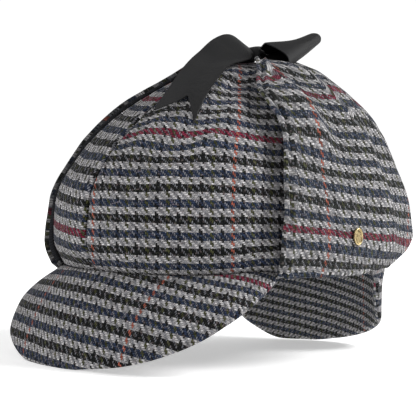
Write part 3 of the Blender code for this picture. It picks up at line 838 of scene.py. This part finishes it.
def build_peak(name, centre, spread, edge, turn, check, band, under):
    """Stiff peak, tweed on both faces, with a rounded and slightly uneven edge."""
    share = close_ends(120, 0.03) * 2.0 - 1.0
    at_rim = [0.0, 0.02, 0.05]
    at_edge = [0.955, 0.97, 0.98, 0.99, 0.996, 1.0]
    depth = np.concatenate([at_rim, np.linspace(0.09, 0.94, 30), at_edge])
    u, w = np.meshgrid(share, depth, indexing="ij")
    middle = peak_sheet(centre, spread, edge, u, w)
    level = level_normal(centre + u * spread)
    normal = grid_normals(middle)
    flip = np.sign(np.sum(normal * level, axis=-1, keepdims=True))
    normal = normal * np.where(flip == 0.0, 1.0, flip)
    normal[:, 0] = level[:, 0]
    reach = np.linalg.norm(middle[:, -1] - middle[:, 0], axis=-1)[:, None]
    half = 0.5 * PEAK_THICKNESS * bullnose((1.0 - w) * np.maximum(reach, 0.01), 0.5 * PEAK_THICKNESS)
    half = half * bullnose((1.0 - np.abs(u)) * math.radians(spread) * 0.09, PEAK_END_RADIUS)
    uneven = PEAK_UNEVEN * lumps(middle, 0.022, 5.1) * smooth_ramp(w / 0.15)
    sunk = PEAK_SINK * (1.0 - bullnose(w * reach, PEAK_SINK_RADIUS))
    outer = middle + normal * (half + uneven - sunk)[..., None]
    inner = middle - normal * (half - uneven)[..., None]
    for face in (outer, inner):
        face[..., 2] = np.clip(face[..., 2], FLOOR_CLEARANCE, RIM_HEIGHT - GAP)
    # Cloth: the unrolled peak, turned to its cut
    few_shares = np.linspace(-1.0, 1.0, 81)
    few_depths = np.linspace(0.0, 1.0, 13)
    flat = unrolled(few_shares, few_depths, lambda a, b: peak_sheet(centre, spread, edge, a, b))
    flat = pattern_at(few_shares, few_depths, flat, u, w)
    cut = math.radians(turn)
    x = flat[..., 0] * math.cos(cut) - flat[..., 1] * math.sin(cut)
    y = flat[..., 1] * math.cos(cut) + flat[..., 0] * math.sin(cut)
    slant, closeness, check_under, band_under = under
    below = cut_of_cloth(closeness * x, closeness * (y + slant * x), check_under, band_under)
    cloth = cut_of_cloth(x, y, check, band)
    # The underside takes the lightened tweed, painted light
    piece = slab_piece(name, outer, inner, cloth, [TWEED, TWEED_UNDER_PAINTED_LIGHT], below, inner_index=1)


def flap_fold(angle, step):
    """Rise of the soft folds that run from the flap's tip, one side steeper than the other."""
    upper = smooth_ramp((step - 0.33) / 0.2)
    rise = 0.0
    for column, width, share in ((1, 7.5, 1.25 * upper), (2, 7.0, 1.0), (3, 6.0, 0.75)):
        away = angle - table_curve(FLAP_FOLDS, column, step)
        crest = np.where(away > 0.0, hump(away, 0.45 * width), hump(away, 1.4 * width))
        rise = rise + share * crest
    return FLAP_FOLD_RISE * rise * smooth_ramp(step / 0.14) * smooth_ramp((0.97 - step) / 0.2)


# Share of the hem's way from its edge at which the flap's own rows begin
HEM_BEGIN = 1.35


def flap_hem(side, foot, share):
    """Rows of a flap's root, which hooks under the rim between the two peaks."""
    level = level_normal(side * foot)
    rim = crown_point(side * foot, 0.0)
    root = 0.5 * (FRONT_PEAK_SPREAD + 180.0 - REAR_PEAK_SPREAD)
    hook = smooth_ramp((1.0 - np.abs(foot - root) / 14.0) * 2.0)
    over_peak = 0.0 if side > 0 else smooth_ramp((FRONT_PEAK_SPREAD + 7.0 - foot) / 6.0)
    flare = 0.0 if side > 0 else FAR_FLAP_FLARE * (1.0 - share) ** 3
    out_full = FLAP_STAND_OFF + 0.5 * FLAP_THICKNESS
    rows = []
    for part in (0.0, 0.03, 0.12, 0.3, 0.55, 0.8, 1.0, HEM_BEGIN):
        left = 1.0 - min(part, 1.0)
        drop = FLAP_HEM_DROP * (1.0 - 0.9 * min(part, 1.0)) - 0.0012 * max(part - 1.0, 0.0)
        out = out_full - 0.0010 * left**2
        hooked = out_full - 0.0022 * left**2
        down = drop + hook * (0.5 * FLAP_THICKNESS + 0.0004 - drop) * (1.0 - part / HEM_BEGIN)
        down = down * (1.0 - over_peak) - over_peak * 0.36 * (1.05 * FLAP_HEM_DROP - drop)
        down = down * (1.0 - 0.85 * smooth_ramp((foot - 98.0) / 12.0))
        point = rim + level * (out + flare + hook * (hooked - out))[:, None]
        point[:, 2] = RIM_HEIGHT - down
        rows.append(point)
    return np.stack(rows, axis=1)


def flap_cloth(side, angle, step, size, below, middle, check, band):
    """Cut of a flap: its bands slope down to the rear, more so towards the tip."""
    along = climb(step) + below
    across = size * (rim_arc(angle) - rim_arc(90.0))
    slope = 0.09 + np.where(angle < 90.0, 1.3, 0.45) * step**3
    if side > 0:
        near_fold = angle - table_curve(FLAP_FOLDS, 1, step)
        tuck = angle - table_curve(FLAP_FOLDS, 2, step)
        tip = smooth_ramp(-near_fold / 6.0) * smooth_ramp((step - 0.66) / 0.1)
        fold = np.where(near_fold > 0.0, hump(near_fold, 5.0), hump(near_fold, 9.0))
        along = along + FLAP_TIP_SHIFT * tip
        along = along - FLAP_FOLD_SHIFT * smooth_ramp((step - 0.40) / 0.2) * fold
        along = along - FLAP_TUCK * smooth_ramp((tuck + 2.5) / 5.0) * smooth_ramp((step - 0.42) / 0.36)
    along = along + 0.0007 * lumps(middle, 0.020, 6.6)
    return cut_of_cloth(side * across, along + slope * across, check, band)


def build_flap(name, side, check, band, materials):
    """Ear flap folded up over the crown, padded, with a rolled front edge on the near one."""
    near = side > 0
    column = 1 if near else 3
    share = close_ends(84, 0.045)
    steps = np.concatenate([np.linspace(0.02, 0.9, 84), [0.906, 0.912, 0.918, 0.923, 0.927, 0.93]])
    s, step = np.meshgrid(share, steps, indexing="ij")
    front = table_curve(FLAP_OUTLINE, column, step)
    rear = table_curve(FLAP_OUTLINE, column + 1, step)
    angle = front + s * (rear - front)
    size = size_at(step)
    width = (rim_arc(rear) - rim_arc(front)) * size
    from_front = s * width
    from_rear = (1.0 - s) * width
    stand = FLAP_STAND_OFF * (1.0 - 0.55 * smooth_ramp((step - 0.5) / 0.3))
    thick = FLAP_THICKNESS - 0.0008 * smooth_ramp((step - 0.6) / 0.3)
    points = crown_point(side * angle, step)
    puffy = FLAP_LUMP * lumps(points, 0.024, 8.8) + FLAP_FINE_LUMP * lumps(points, 0.009, 2.2)
    fold = flap_fold(angle, step) * (1.0 if near else 0.6)
    rise = stand + 0.5 * thick + fold + puffy
    if near:
        rise = rise + FLAP_FRONT_RISE * hump(from_front, 0.006)
    else:
        low = 1.0 - smooth_ramp(step / 0.35)
        swell = (1.0 - s) ** 3 * (0.0012 + 0.0016 * low)
        rise = rise + FAR_FLAP_FRONT_RISE * hump(from_front, 0.012)
        rise = rise + FAR_FLAP_FLARE * (1.0 - s) ** 3 * low - 0.2 * swell
        thick = thick + swell
    middle = points + crown_normal(side * angle, step) * rise[..., None]
    hem = flap_hem(side, front[0, 0] + share * (rear[0, 0] - front[0, 0]), share)
    middle = np.concatenate([hem, middle], axis=1)
    grown = hem.shape[1]

    def with_hem(grid):
        return np.concatenate([np.repeat(grid[:, :1], grown, axis=1), grid], axis=1)

    thick, from_front, from_rear = with_hem(thick), with_hem(from_front), with_hem(from_rear)
    angle, step, size = with_hem(angle), with_hem(step), with_hem(size)
    from_root = way_along(middle)
    from_tip = from_root[:, -1:] - from_root
    half = 0.5 * thick * bullnose(from_front, 0.0042 if near else 0.0017) * bullnose(from_rear, 0.0028)
    half = half * bullnose(from_root, 0.0022) * bullnose(from_tip, 0.0014)
    normal = grid_normals(middle) * side
    roll = 0.0
    if near:
        roll = 0.0005 * hump(from_front - 0.0014, 0.0010) - 0.0016 * hump(from_front - 0.0032, 0.0012)
        roll = roll + 0.0010 * hump(from_front - 0.0052, 0.0013)
    outer = middle + normal * (half + roll)[..., None]
    inner = middle - normal * half[..., None]
    below = np.minimum(from_root - from_root[:, grown : grown + 1], 0.0)
    cloth = flap_cloth(side, angle, step, size, below, middle, check, band)
    # The far flap's edge walls and its rows next to the front edge take material 2, the darkened tweed that
    # paints shade on them
    edge = {} if near else {"edge_index": 2, "edge_rows": 3}
    piece = slab_piece(name, outer, inner, cloth, materials, inner_index=1, **edge)


def ribbon_piece(name, middle, flat, materials, way_out=1.0, inner_index=0):
    """Thin ribbon round its middle face."""
    half = grid_normals(middle) * way_out * 0.5 * RIBBON_THICKNESS
    return slab_piece(name, middle + half, middle - half, flat, materials, inner_index=inner_index)


def ribbon_sheet(name, path, roll, width, notch=0.0, clear=None, cup=0.0, strips=16):
    """Ribbon along a path; roll turns it about the path, a notch cuts a V in its end."""
    tangent = unit(np.gradient(path, axis=0))
    side = unit(np.cross(tangent, np.array([0.0, 0.0, 1.0])))
    lift = np.cross(side, tangent)
    turn = np.radians(roll)[:, None]
    cross = side * np.cos(turn) + lift * np.sin(turn)
    hollow = np.cross(cross, tangent)
    across = close_ends(strips, 0.08) - 0.5
    middle = path[:, None, :] + cross[:, None, :] * (width[:, None] * across)[..., None]
    middle = middle + hollow[:, None, :] * (cup * (1.0 - 4.0 * across**2))[None, :, None]
    cut = np.linspace(0.0, 1.0, len(path))[:, None] ** 3 * notch * (1.0 - 2.0 * np.abs(across))
    middle = middle - tangent[:, None, :] * cut[..., None]
    if clear is not None:
        for point in middle.reshape(-1, 3):
            least = crown_below(point[0], point[1]) + clear
            spare = point[2] - least
            point[2] = least + 0.5 * (spare + math.hypot(spare, 0.0024))
    flat = np.stack([width[:, None] * across, way_along(path)[:, None] - cut], axis=-1)
    piece = ribbon_piece(name, middle, flat, [RIBBON])


def build_front_tail():
    """Free ribbon end that arches forward over the crown."""
    where = np.linspace(FRONT_TAIL[0][0], FRONT_TAIL[-1][0], 90)
    forward = [table_curve(FRONT_TAIL, 1, where), -where, table_curve(FRONT_TAIL, 2, where)]
    path = knot_place() + RIBBON_WIDTH * np.stack(forward, axis=-1)
    roll = table_curve(FRONT_TAIL, 3, where)
    width = RIBBON_WIDTH * table_curve(FRONT_TAIL, 4, where)
    ribbon_sheet(
        "bow_tail_front", path, roll, width, notch=0.86 * RIBBON_WIDTH, clear=0.0024, cup=0.0006,
    )


def build_back_tail():
    """Free ribbon end that lies over the back of the crown."""
    knot = knot_place()
    heading = math.radians(BACK_TAIL_HEADING)
    along = np.array([math.sin(heading), -math.cos(heading)])
    where = np.linspace(BACK_TAIL[0][0], BACK_TAIL[-1][0], 70)
    path = []
    for share in where:
        place = knot[:2] + along * RIBBON_WIDTH * share
        height = crown_below(place[0], place[1]) + 0.0026
        start = float(smooth_ramp((share - BACK_TAIL[0][0]) / 0.6))
        wave = 0.0008 * math.sin(9.0 * share)
        path.append((place[0], place[1], knot[2] + (height - knot[2]) * start + wave * start))
    width = RIBBON_WIDTH * table_curve(BACK_TAIL, 1, where)
    notch = 0.45 * RIBBON_WIDTH
    ribbon_sheet("bow_tail_back", np.array(path), np.zeros(70), width, notch=notch, clear=0.0026)


def build_loop(name, side, length, height, dip, climb_up):
    """Bow loop that leaves the knot sideways and returns under itself."""
    knot = knot_place()
    turn = np.linspace(0.03, 0.97, 96)
    around, width = np.meshgrid(turn, close_ends(14, 0.08), indexing="ij")
    phase = 2.0 * math.pi * around
    swing = np.abs(np.sin(phase))
    reach = 0.5 * (1.0 - np.cos(phase))
    neck = 0.5 * RIBBON_THICKNESS + 0.0004
    half = 0.5 * height * (1.0 - 0.32 * width**2)
    rise = np.where(phase < math.pi, smooth_ramp(reach / 0.6), smooth_ramp(reach / 0.9))
    mouth = (1.0 - width) ** 1.5
    rise = rise + mouth * (np.where(reach < 0.5, swing**1.4, 1.0) - rise)
    bend = np.where(reach < 0.5, 1.0, swing**0.85)
    shut = 1.0 - 0.9 * width**2 * (1.0 - smooth_ramp((reach - 0.25) / 0.5))
    lift = np.maximum((neck + (half - neck) * rise) * shut, 0.00042) * bend * np.sign(np.sin(phase))
    gather = 0.36 + 0.64 * smooth_ramp(reach / 0.55)
    start = 0.46 * KNOT_LENGTH
    x = start + (length - start + 0.002 * (1.0 - width)) * reach
    y = knot[1] + (0.28 * reach + (width - 0.5) * gather) * RIBBON_WIDTH
    z = knot[2] + lift + (width * climb_up - dip) * smooth_ramp(reach)
    z = z + 0.0008 * np.sin(7.0 * width) * (1.0 - reach)
    middle = np.stack([knot[0] + side * x, y, z], axis=-1)
    # A place on the upper run of the ribbon tells which way its outer face looks
    way_out = np.sign(grid_normals(middle)[24, 9, 2])
    way = np.repeat(way_along(middle[:, middle.shape[1] // 2])[:, None], width.shape[1], axis=1)
    flat = np.stack([(width - 0.5) * gather * RIBBON_WIDTH, way], axis=-1)
    # The loop's inner face takes the darkened ribbon, painted shade inside the loop
    piece = ribbon_piece(name, middle, flat, [RIBBON, RIBBON_INSIDE_PAINTED_SHADE], way_out, inner_index=1)


def build_tie(name, side):
    """Short ribbon from the flap's tip to the knot."""
    tip_angle = side * 0.5 * (FLAP_OUTLINE[-1][1] + FLAP_OUTLINE[-1][2])
    step = FLAP_OUTLINE[-1][0] + 0.022
    tip = crown_point(tip_angle, step)
    tip = tip + crown_normal(tip_angle, step) * (RIBBON_THICKNESS + 2.0 * GAP)
    end = knot_place() + np.array([side * (0.5 * KNOT_LENGTH + GAP), 0.003, -0.36 * KNOT_HEIGHT])
    share = np.linspace(0.0, 1.0, 24)
    path = tip * (1.0 - share[:, None]) + end * share[:, None]
    path[:, 2] += 0.0012 * np.sin(math.pi * share)
    ribbon_sheet(name, path, np.zeros(24), RIBBON_WIDTH * (0.45 - 0.12 * share), strips=10)


def closed_tube(name, rings, poles, cloth, materials):
    """Body from closed rings between two end points."""
    count, columns = rings.shape[:2]
    vertices = np.concatenate([rings.reshape(-1, 3), poles])
    first_pole = count * columns
    last = first_pole - columns
    faces = []
    for j in range(columns):
        k = (j + 1) % columns
        for near in range(0, last, columns):
            faces.append((near + j, near + k, near + columns + k, near + columns + j))
        faces.append((first_pole, k, j))
        faces.append((first_pole + 1, last + j, last + k))
    flat = np.concatenate([cloth.reshape(-1, 2), cloth[:1].mean(axis=1), cloth[-1:].mean(axis=1)])
    return mesh_piece(name, vertices, faces, flat, materials)


def build_knot():
    """Wrapped knot: a rounded cushion with the pleats of the ribbon that goes round it."""
    knot = knot_place()
    latitude = np.linspace(0.04, math.pi - 0.04, 60)
    turn = np.linspace(0.0, 2.0 * math.pi, 96, endpoint=False)
    lat, around = np.meshgrid(latitude, turn, indexing="ij")
    ring = np.sin(lat) ** 0.7
    squared_x, squared_z = (np.sign(way) * np.abs(way) ** 0.8 for way in (np.cos(around), np.sin(around)))
    pleat = 1.0 + 0.035 * np.sin(lat * 9.0 + 0.8 * np.cos(around)) * np.sin(lat)
    waist = 1.0 - 0.10 * np.cos(around) ** 4
    x = 0.5 * KNOT_LENGTH * ring * waist * squared_x * pleat
    y = 0.5 * KNOT_WIDTH * np.cos(lat)
    z = 0.5 * KNOT_HEIGHT * ring * squared_z * pleat
    rings = np.stack([knot[0] + x, knot[1] + y, knot[2] + z], axis=-1)
    poles = np.array([knot + [0.0, 0.5 * KNOT_WIDTH, 0.0], knot - [0.0, 0.5 * KNOT_WIDTH, 0.0]])
    cloth = np.stack([0.5 * KNOT_WIDTH * np.cos(lat), 0.5 * KNOT_LENGTH * around], axis=-1)
    piece = closed_tube("bow_knot", rings, poles, cloth, [RIBBON])


# Badge from its back over the rim to the field: share of size, share of thickness
BADGE_PROFILE = (
    (0.50, 0.00), (0.93, 0.00), (0.98, 0.10), (1.00, 0.35), (1.00, 0.60), (0.985, 0.82), (0.95, 0.96),
    (0.91, 1.00), (0.87, 0.94), (0.84, 0.80), (0.815, 0.66), (0.78, 0.62), (0.66, 0.68), (0.50, 0.76),
    (0.32, 0.82), (0.14, 0.85),
)


def build_badge():
    """Small oval pin with a beaded rim and a plain, lightly hammered field."""
    normal = crown_normal(BADGE_ANGLE, BADGE_STEP)
    angle, step = np.array(BADGE_ANGLE), np.array(BADGE_STEP)
    rise = FLAP_STAND_OFF + FLAP_THICKNESS + float(flap_fold(angle, step)) + 2.0 * GAP
    base = crown_point(BADGE_ANGLE, BADGE_STEP) + normal * rise
    upward = unit(np.array([0.0, 0.0, 1.0]) - normal * normal[2])
    side = np.cross(upward, normal)
    turn = np.linspace(0.0, 2.0 * math.pi, 80, endpoint=False)
    size, around = np.meshgrid([row[0] for row in BADGE_PROFILE], turn, indexing="ij")
    height = np.array([[row[1]] for row in BADGE_PROFILE])
    bead = 0.05 * np.sin(around * 40.0) * hump(size - 0.91, 0.03)
    across = 0.5 * BADGE_WIDTH * size * np.cos(around)
    along = 0.5 * BADGE_HEIGHT * size * np.sin(around)
    rings = base + side * across[..., None] + upward * along[..., None]
    rings = rings + normal * (BADGE_THICKNESS * (height + bead))[..., None]
    poles = np.array([base, base + normal * BADGE_THICKNESS * 0.86])
    cloth = np.stack([across, along], axis=-1)
    closed_tube("badge", rings, poles, cloth, [BRASS])


TWEED = tweed("tweed")
# Painted light: the tweed lightened nearly twofold, with a little grey, for the peaks' undersides and the
# near flap's inner face, standing in for light on these shaded faces
TWEED_UNDER_PAINTED_LIGHT = tweed("tweed_underside_painted_light", light=1.85, grey=0.12, rarer=4.0)
# Painted shade: a darkened copy of the tweed for the far flap's front edge, which lies in shade
TWEED_PAINTED_SHADE_EDGE = tweed("tweed_painted_shade_edge", light=0.40, grey=0.12)
TWEED_FLAP = tweed("tweed_brushed", grey=0.10)
LINING = lining("dark_lining")
RIBBON = ribbon("charcoal_grosgrain", light=0.86)
# Painted shade: the ribbon at about a seventh of its tone, with less gloss and sheen, for the inner faces
# of the bow loops
RIBBON_INSIDE_PAINTED_SHADE = ribbon("charcoal_grosgrain_painted_shade", light=0.12)
BRASS = brass("worn_brass")

for gore in GORES:
    build_gore(*gore)
# Under a peak: slant, closeness, overcheck place and band place of the cloth on the underside
build_peak(
    "peak_front", 0.0, FRONT_PEAK_SPREAD, FRONT_PEAK_EDGE,
    turn=5.0, check=-0.031, band=0.0185, under=(0.0, 1.0, 0.0, 0.0),
)
build_peak(
    "peak_rear", 180.0, REAR_PEAK_SPREAD, REAR_PEAK_EDGE,
    turn=0.0, check=0.0, band=0.020, under=(-0.216, 1.6, -0.0224, 0.005),
)
build_flap("ear_flap_left", 1, check=-0.015, band=0.0208, materials=[TWEED_FLAP, TWEED_UNDER_PAINTED_LIGHT])
build_flap("ear_flap_right", -1, check=-0.015, band=0.0208, materials=[TWEED, LINING, TWEED_PAINTED_SHADE_EDGE])
build_knot()
build_loop("bow_loop_left", 1, length=0.0290, height=0.0136, dip=0.0062, climb_up=0.0148)
build_loop("bow_loop_right", -1, length=0.0210, height=0.0060, dip=0.0006, climb_up=0.0035)
build_front_tail()
build_back_tail()
build_tie("ribbon_tie_left", 1)
build_tie("ribbon_tie_right", -1)
build_badge()

# Camera at the photograph's angle
CAMERA_DISTANCE = 0.874
CAMERA_AZIMUTH = math.radians(46.84)
CAMERA_ELEVATION = math.radians(1.295)
CAMERA_ROLL = math.radians(1.5)
CAMERA_AIM = Vector((-0.0105, -0.0014, 0.0810))
SENSOR_WIDTH = 36.0
LENS = 135.73
camera_data = bpy.data.cameras.new("camera")
camera_data.sensor_width = SENSOR_WIDTH
camera_data.lens = LENS
camera = add_object("camera", camera_data)
back = Vector((
    math.sin(CAMERA_AZIMUTH) * math.cos(CAMERA_ELEVATION),
    -math.cos(CAMERA_AZIMUTH) * math.cos(CAMERA_ELEVATION),
    math.sin(CAMERA_ELEVATION),
))
level_right = Vector((math.cos(CAMERA_AZIMUTH), math.sin(CAMERA_AZIMUTH), 0.0))
level_up = back.cross(level_right)
right = level_right * math.cos(CAMERA_ROLL) + level_up * math.sin(CAMERA_ROLL)
up = back.cross(right)
pose = Matrix((right, up, back)).transposed().to_4x4()
pose.translation = CAMERA_AIM + back * CAMERA_DISTANCE
camera.matrix_world = pose
bpy.context.scene.camera = camera

# Plain pale floor that glows a little, more so away from the cap
FLOOR_RADIUS = 4.0
FLOOR_TONES = ((0.86, 0.86, 0.86), (0.90, 0.90, 0.90))
FLOOR_GLOW = 0.40
FLOOR_GLOW_RISE = 0.55
FLOOR_GLOW_REACH = (0.25, 1.2)
WHITE = (1.0, 1.0, 1.0, 1.0)
floor_mesh = bpy.data.meshes.new("floor")
ring = [
    (FLOOR_RADIUS * math.cos(a), FLOOR_RADIUS * math.sin(a), 0.0)
    for a in np.linspace(0.0, 2.0 * math.pi, 96, endpoint=False)
]
floor_mesh.from_pydata(ring, [], [tuple(range(len(ring)))])
floor = add_object("floor", floor_mesh)
paper = Graph(bpy.data.materials.new("pale_paper"))
floor_place = paper.node("ShaderNodeTexCoord").outputs["Object"]
grain = paper.noise(floor_place, 40.0, 3.0)
paper.plug(paper.shader.inputs["Base Color"], paper.mix(grain, *FLOOR_TONES))
paper.shader.inputs["Roughness"].default_value = 0.7
paper.shader.inputs["Emission Color"].default_value = WHITE
away = paper.smooth(paper.length(floor_place), *FLOOR_GLOW_REACH)
paper.plug(paper.shader.inputs["Emission Strength"], paper.line(away, FLOOR_GLOW_RISE, FLOOR_GLOW))
floor_mesh.materials.append(paper.owner)

# White room: bright walls, a dimmer ceiling, and the heights of view between which it dims
ROOM_HEIGHTS = (0.22, 0.50)
ROOM_STRENGTHS = (1.05, 0.30)
room = Graph(bpy.data.worlds.new("studio"), "Background")
height = room.parts(room.node("ShaderNodeTexCoord").outputs["Generated"])[2]
room.plug(room.shader.inputs["Strength"], room.smooth(height, *ROOM_HEIGHTS, *ROOM_STRENGTHS))
room.shader.inputs["Color"].default_value = WHITE
bpy.context.scene.world = room.owner

# Soft square lights that look at the cap, a large key on the wearer's left and a weaker fill in
# front: name, way to the camera's right, towards it and up in metres, size and watts
LIGHTS = (
    ("key", 1.15, 0.16, 0.95, 0.50, 21.0),
    ("fill", -1.35, 0.70, 1.10, 0.90, 13.0),
)
LIGHT_AIM = Vector((0.0, 0.0, 0.08))
for name, sideways, nearer, over, size, watts in LIGHTS:
    data = bpy.data.lights.new(name, "AREA")
    data.size = size
    data.energy = watts
    made = add_object(name, data)
    made.location = level_right * sideways + back * nearer + Vector((0.0, 0.0, over))
    made.rotation_mode = "QUATERNION"
    made.rotation_quaternion = (LIGHT_AIM - made.location).to_track_quat("-Z", "Y")
bpy.context.scene.view_settings.view_transform = "Standard"
